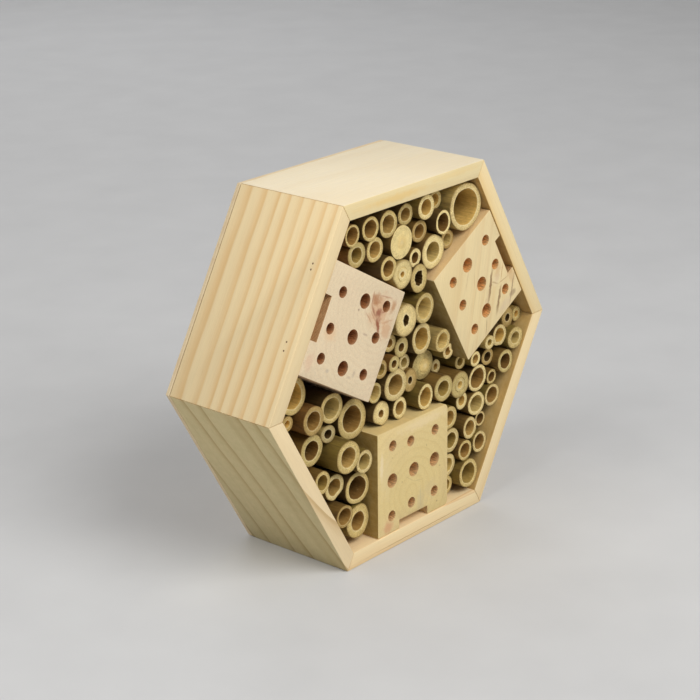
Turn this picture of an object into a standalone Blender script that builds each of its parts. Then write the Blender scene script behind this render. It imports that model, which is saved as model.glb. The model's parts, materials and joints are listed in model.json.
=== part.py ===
"""Hexagonal wall-mounted insect hotel: a mitred pine frame, three drilled nesting
blocks and a packing of cut bamboo tubes against a thin back panel.

Metres, +Z up, +X to the right and the front facing -Y. The origin is at the middle of
the underside, halfway between the front and the back.
"""

import math

import bmesh
import bpy
from mathutils import Vector

MM = 0.001

# ---- Driving sizes, millimetres ---------------------------------------------------
SIDE = 110.0                # one side of the hexagon, which is also its corner radius
BOARD_DEEP = 66.0           # front edge of the boards to their rear edge
WALL = 8.5                  # thickness of the frame boards
BACK = 2.5                  # thickness of the panel that covers the back of the frame
EASE = 0.6                  # small rounding along the long edges of the boards
GAP = 0.3                   # clearance left between pieces that touch
BACK_INSET = 0.25           # the panel's edges stay this far inside the boards' outsides
JOIN = 0.5                  # how far two bonded tubes run into each other's wall

BLOCK_INSET = 0.5           # block faces stand this far behind the frame's front edge
NOTCH_LONG = 23.7           # slot milled in the side that lies on the board
SMALL_HOLE = 6.0            # drill sizes of the nesting holes
LARGE_HOLE = 8.0

PIN_DIA = 1.0
PIN_LONG = 8.3                # ends inside the board, short of the block behind it
PIN_BACK = 6.5              # pins sit this far behind the front edge
PIN_CLEARANCE = 0.12

RIM = SIDE * math.sin(math.radians(60))       # centre of the hexagon to a board's outside
INNER = RIM - WALL                            # centre to a board's inside
DEPTH = BOARD_DEEP + GAP + BACK
FRONT = -DEPTH / 2
REAR = DEPTH / 2
STOP = REAR - BACK - GAP                      # where the boards, blocks and tubes end

# Each board by the direction that its outside faces, seen from the front.
BOARDS = {
    "frame_upper_right": 30,
    "frame_top": 90,
    "frame_upper_left": 150,
    "frame_lower_left": 210,
    "frame_bottom": 270,
    "frame_lower_right": 330,
}

# The nesting blocks. Along is measured on the board, anticlockwise as seen from the
# front, and out is the distance in from the board. Holes are (along, out, drill).
BLOCKS = {
    "block_bottom": {
        "board": "frame_bottom",
        "along": -2.0,
        "wide": 57.2,
        "tall": 57.5,
        "notch": -1.9,
        "deep": 5.0,
        "holes": [
            (-19.5, 9.5, SMALL_HOLE), (-3.5, 11.5, SMALL_HOLE), (15.5, 11.5, SMALL_HOLE),
            (-19.0, 29.0, LARGE_HOLE), (-1.5, 29.5, LARGE_HOLE), (15.5, 29.5, LARGE_HOLE),
            (-18.5, 48.0, SMALL_HOLE), (-4.0, 46.0, SMALL_HOLE), (16.0, 46.0, SMALL_HOLE),
        ],
    },
    "block_left": {
        "board": "frame_upper_left",
        "along": -2.0,
        "wide": 57.6,
        "tall": 59.3,
        "notch": -2.4,
        "deep": 5.2,
        "holes": [
            (-18.0, 12.5, SMALL_HOLE), (0.5, 12.0, SMALL_HOLE), (15.5, 12.5, SMALL_HOLE),
            (-18.5, 31.0, LARGE_HOLE), (0.0, 30.5, LARGE_HOLE), (16.0, 31.0, LARGE_HOLE),
            (-20.5, 48.5, SMALL_HOLE), (-4.0, 48.0, SMALL_HOLE), (15.0, 48.0, SMALL_HOLE),
        ],
    },
    "block_right": {
        "board": "frame_upper_right",
        "along": -1.7,
        "wide": 59.0,
        "tall": 54.0,
        "notch": -2.0,
        "deep": 5.0,
        "holes": [
            (16.0, 11.0, SMALL_HOLE), (-1.5, 11.0, SMALL_HOLE), (-20.0, 11.0, SMALL_HOLE),
            (15.0, 29.0, LARGE_HOLE), (-2.5, 25.0, LARGE_HOLE), (-18.5, 29.0, LARGE_HOLE),
            (15.5, 42.5, SMALL_HOLE), (-1.0, 42.5, SMALL_HOLE), (-20.0, 41.5, SMALL_HOLE),
        ],
    },
}

# Two pairs of pins in the board of the left block, measured along the board.
PINS = {
    "pin_upper_a": -25.2,
    "pin_upper_b": -22.2,
    "pin_lower_a": 13.8,
    "pin_lower_b": 18.2,
}

# Bamboo, node by node. A node with two entries is a pair of tubes bonded side by side.
# Each tube is (x, z from the hexagon's centre, outside diameter, bore, recess behind the
# front edge). A bore of 0 is a piece cut just outside a joint, so its end is closed.
BAMBOO = {
    "bamboo_top_01": [(-45.0, 78.0, 11.0, 8.5, 3.0), (-40.5, 66.5, 13.0, 7.5, 4.0)],
    "bamboo_top_02": [(-31.5, 78.5, 12.5, 9.0, 3.0), (-27.5, 66.0, 12.5, 8.0, 3.5)],
    "bamboo_top_03": [(-18.0, 77.5, 13.5, 9.0, 3.0), (-8.0, 65.5, 17.0, 0.0, 2.5)],
    "bamboo_top_04": [(0.5, 77.0, 11.5, 7.0, 7.5), (13.0, 79.0, 13.0, 8.0, 3.5)],
    "bamboo_top_05": [(-20.0, 55.5, 12.0, 8.0, 1.5), (-8.0, 49.0, 15.0, 3.0, 2.0)],
    "bamboo_top_06": [(25.0, 79.5, 10.5, 6.5, 8.0), (25.0, 68.0, 12.0, 9.0, 2.5)],
    "bamboo_top_07": [(10.5, 66.5, 12.0, 7.5, 6.5), (19.0, 54.0, 18.0, 10.5, 4.0)],
    "bamboo_top_08": [(3.5, 55.0, 9.5, 5.5, 3.5), (5.5, 43.5, 14.0, 7.0, 2.5)],
    "bamboo_top_09": [(43.5, 72.5, 25.0, 19.0, 2.5)],
    "bamboo_top_10": [(32.5, 57.0, 10.0, 6.0, 6.0)],
    "bamboo_centre_01": [(-7.5, 25.5, 16.5, 5.0, 0.5), (8.0, 27.5, 15.5, 11.0, 1.0)],
    "bamboo_centre_02": [(-4.5, 9.0, 11.0, 4.5, 5.5), (-14.0, 14.0, 9.5, 4.5, 6.0)],
    "bamboo_centre_03": [(-14.0, 3.5, 8.5, 4.0, 2.5), (-23.5, 3.0, 10.0, 6.0, 4.0)],
    "bamboo_centre_04": [(2.0, -1.5, 9.0, 5.0, 9.5), (4.0, -12.0, 11.5, 3.5, 7.0)],
    "bamboo_centre_05": [(-24.5, -10.0, 10.5, 7.5, 7.0), (-10.5, -9.0, 17.5, 11.0, 4.5)],
    "bamboo_centre_06": [(23.0, 6.0, 12.5, 8.5, 1.0), (29.5, -2.0, 8.5, 4.5, 2.5)],
    "bamboo_centre_07": [(34.5, -14.5, 8.0, 3.5, 14.5), (25.5, -21.5, 14.5, 8.5, 2.5)],
    "bamboo_centre_08": [(46.0, -12.5, 8.5, 4.5, 8.0), (54.5, -14.0, 8.5, 5.0, 4.0)],
    "bamboo_centre_09": [(9.0, 10.5, 16.0, 11.0, 3.5)],
    "bamboo_centre_10": [(18.0, -8.0, 16.5, 0.0, 8.5)],
    "bamboo_centre_11": [(-20.0, -22.5, 13.0, 4.0, 6.5)],
    "bamboo_centre_12": [(-6.5, -23.0, 11.5, 7.0, 5.5)],
    "bamboo_centre_13": [(11.5, -22.0, 13.0, 9.5, 3.0)],
    "bamboo_right_01": [(41.5, -23.5, 14.5, 4.0, 3.5), (46.0, -35.5, 10.0, 5.5, 6.0)],
    "bamboo_right_02": [(58.5, -25.5, 15.5, 11.5, 5.0), (57.0, -40.5, 13.5, 9.5, 4.5)],
    "bamboo_right_03": [(71.0, -28.5, 8.5, 5.5, 5.0), (70.0, -39.0, 12.5, 9.0, 4.0)],
    "bamboo_right_04": [(68.5, -17.0, 10.0, 5.5, 6.5), (79.5, -22.0, 13.0, 8.5, 2.0)],
    "bamboo_right_05": [(64.5, -7.0, 8.0, 3.5, 2.0), (74.5, -5.5, 12.0, 8.0, 2.5)],
    "bamboo_right_06": [(84.5, 1.0, 10.5, 4.0, 5.0), (86.5, -10.0, 13.0, 7.0, 1.0)],
    "bamboo_right_07": [(50.5, -51.5, 12.0, 8.0, 4.0), (57.5, -62.0, 12.0, 8.5, 2.5)],
    "bamboo_right_08": [(45.5, -62.5, 11.5, 8.0, 3.0), (46.5, -76.5, 16.0, 11.5, 1.5)],
    "bamboo_right_09": [(95.5, 0.0, 8.0, 3.5, 7.0)],
    "bamboo_right_10": [(65.0, -52.0, 8.5, 6.0, 8.0)],
    "bamboo_lower_01": [(34.0, -41.0, 13.0, 8.0, 5.0), (35.0, -54.5, 13.5, 8.5, 4.5)],
    "bamboo_lower_02": [(34.0, -68.0, 13.0, 8.0, 6.0), (33.5, -80.5, 11.0, 6.5, 6.5)],
    "bamboo_left_01": [(-72.5, -9.5, 15.0, 9.5, 5.5), (-57.0, -8.0, 16.0, 11.0, 7.0)],
    "bamboo_left_02": [(-58.0, -21.5, 10.0, 5.0, 8.5), (-70.5, -27.0, 16.5, 10.0, 9.0)],
    "bamboo_left_03": [(-52.0, -34.0, 17.0, 10.5, 1.0), (-39.0, -41.0, 12.5, 8.5, 1.5)],
    "bamboo_left_04": [(-65.0, -45.0, 11.5, 7.5, 6.5), (-54.0, -51.5, 14.0, 9.0, 8.0)],
    "bamboo_left_05": [(-53.0, -66.5, 12.0, 9.0, 3.5), (-39.5, -74.5, 18.0, 10.0, 5.5)],
    "bamboo_left_06": [(-81.0, 5.5, 19.0, 13.0, 10.0)],
    "bamboo_left_07": [(-85.5, -8.0, 8.0, 3.5, 10.5)],
    "bamboo_left_08": [(-37.5, -21.5, 21.5, 14.0, 10.5)],
    "bamboo_left_09": [(-39.0, -56.0, 17.5, 12.5, 6.0)],
}


# ---- Scene set-up -----------------------------------------------------------------
for old in list(bpy.data.objects):
    bpy.data.objects.remove(old, do_unlink=True)

parts = bpy.data.collections.new("insect_hotel")
cutters = bpy.data.collections.new("cutters")
bpy.context.scene.collection.children.link(parts)
bpy.context.scene.collection.children.link(cutters)


def wood(name, color, roughness, metallic=0.0):
    material = bpy.data.materials.new(name)
    material.use_nodes = True
    shader = material.node_tree.nodes["Principled BSDF"]
    shader.inputs["Base Color"].default_value = (*color, 1.0)
    shader.inputs["Roughness"].default_value = roughness
    shader.inputs["Metallic"].default_value = metallic
    return material


PINE = (0.80, 0.64, 0.38)
PLY = (0.62, 0.47, 0.29)
BAMBOO_TINTS = [(0.66, 0.55, 0.31), (0.60, 0.48, 0.26), (0.70, 0.60, 0.36), (0.52, 0.40, 0.22)]
BLOCK_TINTS = {
    "block_bottom": (0.74, 0.60, 0.42),
    "block_left": (0.74, 0.60, 0.47),
    "block_right": (0.77, 0.66, 0.42),
}


def add(name, bm, material):
    """One visible part from a bmesh in millimetres."""
    bmesh.ops.scale(bm, vec=(MM, MM, MM), verts=bm.verts)
    bmesh.ops.recalc_face_normals(bm, faces=bm.faces)
    mesh = bpy.data.meshes.new(name)
    bm.to_mesh(mesh)
    bm.free()
    obj = bpy.data.objects.new(name, mesh)
    if material is not None:
        mesh.materials.append(material)
    parts.objects.link(obj)
    return obj


def as_cutter(obj):
    """Moves a shape out of the parts, so that it only cuts or joins others."""
    parts.objects.unlink(obj)
    cutters.objects.link(obj)
    obj.hide_render = True
    obj.display_type = "WIRE"
    return obj


def boolean(obj, other, operation):
    modifier = obj.modifiers.new(operation.lower(), "BOOLEAN")
    modifier.operation = operation
    modifier.solver = "EXACT"
    modifier.object = other


def smooth_sides(obj, angle=40):
    for face in obj.data.polygons:
        face.use_smooth = True
    obj.data.set_sharp_from_angle(angle=math.radians(angle))


# ---- Directions on the hexagon ----------------------------------------------------
def outward(angle):
    return Vector((math.cos(math.radians(angle)), 0, math.sin(math.radians(angle))))


def along(angle):
    return Vector((-math.sin(math.radians(angle)), 0, math.cos(math.radians(angle))))


CENTRE = Vector((0, 0, RIM))


def on_board(angle, u, v, y):
    """A point u along a board, v in from its inside face and at depth y."""
    return CENTRE + along(angle) * u + outward(angle) * (INNER - v) + Vector((0, y, 0))


def prism(bm, outline, y0, y1):
    """Extrudes a closed outline of (x, z) vectors from y0 to y1."""
    near = [bm.verts.new((p.x, y0, p.z)) for p in outline]
    far = [bm.verts.new((p.x, y1, p.z)) for p in outline]
    bm.faces.new(near)
    bm.faces.new(list(reversed(far)))
    for k in range(len(outline)):
        n = (k + 1) % len(outline)
        bm.faces.new([near[k], far[k], far[n], near[n]])
    return near, far


def cylinder(name, centre, direction, radius, length, sides):
    """A solid round bar in millimetres, from centre along direction."""
    bm = bmesh.new()
    axis = direction.normalized()
    side = axis.cross(Vector((0.37, 0.53, 0.76))).normalized()
    other = axis.cross(side)
    rings = []
    for step in (0, length):
        ring = []
        for k in range(sides):
            turn = 2 * math.pi * k / sides
            offset = side * math.cos(turn) + other * math.sin(turn)
            ring.append(bm.verts.new(centre + axis * step + offset * radius))
        rings.append(ring)
    bm.faces.new(rings[0])
    bm.faces.new(list(reversed(rings[1])))
    for k in range(sides):
        n = (k + 1) % sides
        bm.faces.new([rings[0][k], rings[1][k], rings[1][n], rings[0][n]])
    return add(name, bm, None)


# ---- Frame ------------------------------------------------------------------------
def make_board(name, angle, material):
    """A board with both ends mitred at 60 degrees and its long edges eased."""
    bm = bmesh.new()
    trim = GAP / 2 / math.cos(math.radians(30))
    half_out = SIDE / 2 - trim
    half_in = INNER * math.tan(math.radians(30)) - trim
    outline = [
        on_board(angle, -half_out, -WALL, 0),
        on_board(angle, half_out, -WALL, 0),
        on_board(angle, half_in, 0, 0),
        on_board(angle, -half_in, 0, 0),
    ]
    prism(bm, outline, FRONT, STOP)
    weight = bm.edges.layers.float.new("bevel_weight_edge")
    for edge in bm.edges:
        run = edge.verts[1].co - edge.verts[0].co
        if abs(run.normalized().dot(along(angle))) > 0.99:
            edge[weight] = 1.0
    board = add(name, bm, material)
    ease = board.modifiers.new("eased_edges", "BEVEL")
    ease.width = EASE * MM
    ease.segments = 2
    ease.limit_method = "WEIGHT"
    return board


boards = {}
for name, angle in BOARDS.items():
    boards[name] = make_board(name, angle, wood(name, PINE, 0.55))


def make_back():
    """The hexagonal back panel, laid over the rear edges of the boards."""
    bm = bmesh.new()
    reach = (RIM - BACK_INSET) / math.cos(math.radians(30))
    outline = [CENTRE + outward(60 * k) * reach for k in range(6)]
    prism(bm, outline, REAR - BACK, REAR)
    return add("back_panel", bm, wood("back_panel", PLY, 0.65))


make_back()


# ---- Nesting blocks ---------------------------------------------------------------
def make_block(name, plan, material):
    angle = BOARDS[plan["board"]]
    low = plan["along"] - plan["wide"] / 2
    high = plan["along"] + plan["wide"] / 2
    slot_low = plan["notch"] - NOTCH_LONG / 2
    slot_high = plan["notch"] + NOTCH_LONG / 2
    foot = GAP
    corners = [
        (low, foot),
        (slot_low, foot),
        (slot_low, plan["deep"]),
        (slot_high, plan["deep"]),
        (slot_high, foot),
        (high, foot),
        (high, plan["tall"]),
        (low, plan["tall"]),
    ]
    bm = bmesh.new()
    front = FRONT + BLOCK_INSET
    prism(bm, [on_board(angle, u, v, 0) for u, v in corners], front, STOP)
    block = add(name, bm, material)
    for k, (u, v, drill) in enumerate(plan["holes"], 1):
        start = on_board(angle, u, v, FRONT - 1)
        hole = cylinder(f"{name}_hole_{k}", start, Vector((0, 1, 0)), drill / 2, DEPTH, 12)
        boolean(block, as_cutter(hole), "DIFFERENCE")
    return block


blocks = {}
for name, plan in BLOCKS.items():
    blocks[name] = make_block(name, plan, wood(name, BLOCK_TINTS[name], 0.7))


# ---- Fixing pins ------------------------------------------------------------------
for name, u in PINS.items():
    angle = BOARDS["frame_upper_left"]
    y = FRONT + PIN_BACK
    inward = -outward(angle)
    head = on_board(angle, u, -WALL + 0.1, y)
    pin = cylinder(name, head, inward, PIN_DIA / 2, PIN_LONG, 12)
    pin.data.materials.append(wood(name, (0.25, 0.24, 0.23), 0.4, 1.0))
    mouth = on_board(angle, u, -WALL - 1, y)
    bore = PIN_DIA / 2 + PIN_CLEARANCE
    channel = cylinder(f"{name}_channel", mouth, inward, bore, WALL + 2, 12)
    boolean(boards["frame_upper_left"], as_cutter(channel), "DIFFERENCE")


# ---- Bamboo -----------------------------------------------------------------------
def spread(tubes):
    """Moves the tubes until each only touches its neighbours, the boards and the blocks."""
    frames = [(outward(angle), None, 0, 0) for angle in BOARDS.values()]
    squares = []
    for plan in BLOCKS.values():
        angle = BOARDS[plan["board"]]
        middle = on_board(angle, plan["along"], plan["tall"] / 2, 0) - CENTRE
        squares.append((middle, along(angle), outward(angle), plan["wide"] / 2, plan["tall"] / 2))
    for turn in range(500):
        pull = 0.02 if turn < 350 else 0.0
        for tube in tubes:
            tube["at"] += (tube["home"] - tube["at"]) * pull
        for i, a in enumerate(tubes):
            for b in tubes[i + 1:]:
                bonded = a["node"] == b["node"]
                room = a["r"] + b["r"] + (-JOIN if bonded else GAP)
                apart = b["at"] - a["at"]
                short = room - apart.length
                if short > 0 or bonded:
                    push = apart.normalized() * (short / 2)
                    a["at"] -= push
                    b["at"] += push
            for normal, _, _, _ in frames:
                over = a["at"].dot(normal) + a["r"] + GAP - INNER
                if over > 0:
                    a["at"] -= normal * over
            for middle, u_axis, v_axis, half_u, half_v in squares:
                offset = a["at"] - middle
                u = offset.dot(u_axis)
                v = offset.dot(v_axis)
                near = u_axis * max(-half_u, min(half_u, u)) + v_axis * max(-half_v, min(half_v, v))
                away = offset - near
                over = a["r"] + GAP - away.length
                if over > 0 and away.length > 0.01:
                    a["at"] += away.normalized() * over
    return tubes


def ring(bm, centre, radius, y, sides):
    points = []
    for k in range(sides):
        turn = 2 * math.pi * (k + 0.5) / sides
        points.append(bm.verts.new((
            centre.x + radius * math.cos(turn),
            y,
            centre.z + radius * math.sin(turn),
        )))
    return points


def band(bm, first, second):
    for k in range(len(first)):
        n = (k + 1) % len(first)
        bm.faces.new([first[k], second[k], second[n], first[n]])


def make_tube(name, tube, material):
    """One length of bamboo lying along Y, open at both ends unless its bore is 0."""
    bm = bmesh.new()
    radius = tube["r"]
    sides = 20 if radius > 7 else 16 if radius > 4.6 else 12
    y0 = FRONT + tube["recess"]
    y1 = STOP - tube["short"]
    centre = CENTRE + tube["at"]
    outer = [ring(bm, centre, radius, y, sides) for y in (y0, y1)]
    band(bm, outer[0], outer[1])
    if tube["bore"] > 0:
        inner = [ring(bm, centre, tube["bore"] / 2, y, sides) for y in (y0, y1)]
        band(bm, inner[1], inner[0])
        band(bm, inner[0], outer[0])
        band(bm, outer[1], inner[1])
    else:
        bm.faces.new(outer[0])
        bm.faces.new(list(reversed(outer[1])))
    obj = add(name, bm, material)
    smooth_sides(obj)
    return obj


tubes = []
for node, members in BAMBOO.items():
    for k, (x, z, diameter, bore, recess) in enumerate(members):
        tubes.append({
            "node": node,
            "home": Vector((x, 0, z)),
            "at": Vector((x, 0, z)),
            "r": diameter / 2,
            "bore": bore,
            "recess": recess,
            "short": 0.4 * k,
        })

spread(tubes)

made = {}
for index, tube in enumerate(tubes):
    node = tube["node"]
    tint = BAMBOO_TINTS[index % len(BAMBOO_TINTS)]
    if node not in made:
        made[node] = make_tube(node, tube, wood(node, tint, 0.6))
    else:
        partner = make_tube(node + "_partner", tube, None)
        boolean(made[node], as_cutter(partner), "UNION")
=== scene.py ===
"""Looks for a hexagonal insect hotel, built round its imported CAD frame."""

import json
import math
import random

import bmesh
import bpy
from mathutils import Matrix, Vector, noise


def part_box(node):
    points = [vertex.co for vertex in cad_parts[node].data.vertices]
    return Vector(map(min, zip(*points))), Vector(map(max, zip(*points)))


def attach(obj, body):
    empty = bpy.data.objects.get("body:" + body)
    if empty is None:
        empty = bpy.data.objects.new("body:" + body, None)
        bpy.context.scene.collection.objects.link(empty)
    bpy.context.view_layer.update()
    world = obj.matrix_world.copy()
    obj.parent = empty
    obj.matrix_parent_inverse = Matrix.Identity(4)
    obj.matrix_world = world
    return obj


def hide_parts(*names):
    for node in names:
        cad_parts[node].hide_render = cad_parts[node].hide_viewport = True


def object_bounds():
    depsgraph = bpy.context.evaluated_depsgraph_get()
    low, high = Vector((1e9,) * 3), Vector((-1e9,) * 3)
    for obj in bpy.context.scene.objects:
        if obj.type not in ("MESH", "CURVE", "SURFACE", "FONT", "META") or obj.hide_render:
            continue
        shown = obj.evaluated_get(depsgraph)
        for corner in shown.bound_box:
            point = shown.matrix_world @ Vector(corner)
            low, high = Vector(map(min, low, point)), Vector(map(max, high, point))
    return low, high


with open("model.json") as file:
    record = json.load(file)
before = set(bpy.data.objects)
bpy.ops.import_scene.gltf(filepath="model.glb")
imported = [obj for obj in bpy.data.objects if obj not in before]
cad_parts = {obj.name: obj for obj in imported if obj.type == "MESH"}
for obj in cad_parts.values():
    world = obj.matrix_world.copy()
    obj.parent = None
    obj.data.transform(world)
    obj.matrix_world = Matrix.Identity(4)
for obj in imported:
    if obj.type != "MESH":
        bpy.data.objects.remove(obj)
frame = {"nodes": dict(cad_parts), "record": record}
CAD_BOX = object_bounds()

MM = 0.001
UP = Vector((0, 0, 1))


# ---- Sizes, all read from the frame, in millimetres ----
def box_mm(node):
    low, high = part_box(node)
    return low / MM, high / MM


LOW, HIGH = (Vector(corner) / MM for corner in CAD_BOX)
FRONT = LOW.y
REAR = HIGH.y
CENTRE = Vector((0, 0, (LOW.z + HIGH.z) / 2))
RIM = (HIGH.z - LOW.z) / 2  # from the centre to a board's outside
SIDE = RIM / math.sin(math.radians(60))
WALL = box_mm("frame_top")[1].z - box_mm("frame_top")[0].z
INNER = RIM - WALL
GAP = 0.3  # between boards

# Which way each board faces, in degrees from the X axis, and the board each block stands on.
BOARDS = {
    "frame_upper_right": 30,
    "frame_top": 90,
    "frame_upper_left": 150,
    "frame_lower_left": 210,
    "frame_bottom": 270,
    "frame_lower_right": 330,
}
BLOCKS = {
    "block_bottom": "frame_bottom",
    "block_left": "frame_upper_left",
    "block_right": "frame_upper_right",
}


def axes_at(place, *axes):
    """A matrix with these X, Y and Z axes and this origin, in metres."""
    matrix = Matrix.Identity(4)
    for column, axis in enumerate((*axes, place)):
        for row in range(3):
            matrix[row][column] = axis[row]
    return matrix


def local_frame(angle):
    """Axes of a board: X along it, Y to the rear, Z out of the hexagon, origin on its outside."""
    out = Vector((math.cos(math.radians(angle)), 0, math.sin(math.radians(angle))))
    run = Vector((out.z, 0, -out.x))
    return axes_at((CENTRE + out * RIM) * MM, run, (0, 1, 0), out)


def to_local(angle, point):
    """A point in millimetres of the row frame, in the board's own axes."""
    return local_frame(angle).inverted() @ (Vector(point) * MM) / MM


# ---- Shader helpers ----
WOOD_IOR = 1.45
BUMP_HEIGHT = 0.0004  # metres


class Nodes:
    """Builds one material's node tree. Lengths in it are millimetres."""

    def __init__(self, name):
        self.material = bpy.data.materials.new(name)
        self.material.use_nodes = True
        self.tree = self.material.node_tree
        self.shader = self.tree.nodes["Principled BSDF"]

    def put(self, socket, value):
        if isinstance(value, bpy.types.NodeSocket):
            self.tree.links.new(value, socket)
        else:
            socket.default_value = value

    def new(self, kind):
        return self.tree.nodes.new("ShaderNode" + kind)

    def math(self, operation, *values, clamp=False):
        node = self.new("Math")
        node.operation = operation
        node.use_clamp = clamp
        for socket, value in zip(node.inputs, values):
            self.put(socket, value)
        return node.outputs[0]

    def plus(self, first, second):
        return self.math("ADD", first, second)

    def minus(self, first, second):
        return self.math("SUBTRACT", first, second)

    def times(self, first, second, clamp=False):
        return self.math("MULTIPLY", first, second, clamp=clamp)

    def line(self, value, factor, offset):
        """value * factor + offset."""
        return self.math("MULTIPLY_ADD", value, factor, offset)

    def split(self, vector):
        node = self.new("SeparateXYZ")
        self.put(node.inputs[0], vector)
        return tuple(node.outputs)

    def join(self, x, y, z):
        node = self.new("CombineXYZ")
        for socket, value in zip(node.inputs, (x, y, z)):
            self.put(socket, value)
        return node.outputs[0]

    def vector(self, operation, first, second=(0, 0, 0), output=0):
        node = self.new("VectorMath")
        node.operation = operation
        self.put(node.inputs[0], first)
        node.inputs[1].default_value = second
        return node.outputs[output]

    def scaled(self, vector, factors):
        return self.vector("MULTIPLY", vector, factors)

    def shifted(self, vector, offset):
        return self.vector("ADD", vector, offset)

    def dot(self, vector, axis):
        return self.vector("DOT_PRODUCT", vector, axis, "Value")

    def length(self, vector):
        return self.vector("LENGTH", vector, output="Value")

    def noise(self, vector, scale, detail=2.0, rough=0.5, distortion=0.0):
        """Noise whose scale along each axis is in waves per millimetre."""
        node = self.new("TexNoise")
        self.put(node.inputs["Vector"], self.scaled(vector, scale))
        settings = {"Scale": 1, "Detail": detail, "Roughness": rough, "Distortion": distortion}
        for name, value in settings.items():
            node.inputs[name].default_value = value
        return node.outputs["Fac"]

    def ramp(self, factor, stops):
        node = self.new("ValToRGB")
        ramp = node.color_ramp
        while len(ramp.elements) < len(stops):
            ramp.elements.new(0.5)
        for element, (position, value) in zip(ramp.elements, stops):
            element.position = position
            element.color = (*value, 1) if isinstance(value, tuple) else (value, value, value, 1)
        self.put(node.inputs[0], factor)
        return node.outputs[0]

    def step(self, value, low, high):
        """0 below low, 1 above high, smooth between."""
        node = self.new("MapRange")
        node.interpolation_type = "SMOOTHSTEP"
        self.put(node.inputs[0], value)
        node.inputs[1].default_value = low
        node.inputs[2].default_value = high
        return node.outputs[0]

    def below(self, value, low, high):
        """1 below low, 0 above high, smooth between."""
        return self.minus(1.0, self.step(value, low, high))

    def mix(self, factor, first, second, blend="MIX"):
        node = self.new("Mix")
        node.data_type = "RGBA"
        node.blend_type = blend
        self.put(node.inputs[0], factor)
        for socket, value in ((node.inputs[6], first), (node.inputs[7], second)):
            self.put(socket, (*value, 1) if isinstance(value, tuple) else value)
        return node.outputs[2]

    def shaded(self, color, shade):
        """A colour times a grey level."""
        return self.mix(1.0, color, self.join(shade, shade, shade), "MULTIPLY")

    def painted(self, name, output="Fac"):
        """A value that the mesh carries at its vertices."""
        node = self.new("Attribute")
        node.attribute_name = name
        return node.outputs[output]

    def place(self):
        """Object coordinates in millimetres."""
        node = self.new("TexCoord")
        return self.scaled(node.outputs["Object"], (1000, 1000, 1000))

    def finish(self, color, rough, height, strength, gloss=0.5):
        self.put(self.shader.inputs["Base Color"], color)
        self.put(self.shader.inputs["Roughness"], rough)
        self.shader.inputs["IOR"].default_value = WOOD_IOR
        self.shader.inputs["Specular IOR Level"].default_value = gloss
        bump = self.new("Bump")
        bump.inputs["Strength"].default_value = strength
        bump.inputs["Distance"].default_value = BUMP_HEIGHT
        self.put(bump.inputs["Height"], height)
        self.put(self.shader.inputs["Normal"], bump.outputs[0])
        return self.material


# Darkness across one growth ring, from 0, early wood, to 1, late wood.
PLAIN = (
    (0, 0.35), (0.08, 0.06), (0.35, 0), (0.66, 0.3),
    (0.88, 0.85), (0.95, 1), (1, 0.35),
)
SOFT = (
    (0, 0.5), (0.06, 0.08), (0.25, 0), (0.55, 0.25),
    (0.85, 0.85), (0.96, 1), (1, 0.5),
)
LINE = (
    (0, 0.9), (0.05, 1), (0.2, 0.55), (0.45, 0.18),
    (0.75, 0), (0.97, 0), (1, 0.9),
)
BROAD = ((0, 0.2), (0.3, 0), (0.6, 0.5), (0.9, 1), (1, 0.2))

DRIFT = (0.011, 0.035, 0.035)  # how fast the grain wanders, in waves per millimetre
STRAIGHT = ((1, 0, 0), (0, 1, 0), (0, 0, 1))
TO_REAR = ((0, 1, 0), (1, 0, 0), (0, 0, 1))


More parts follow.
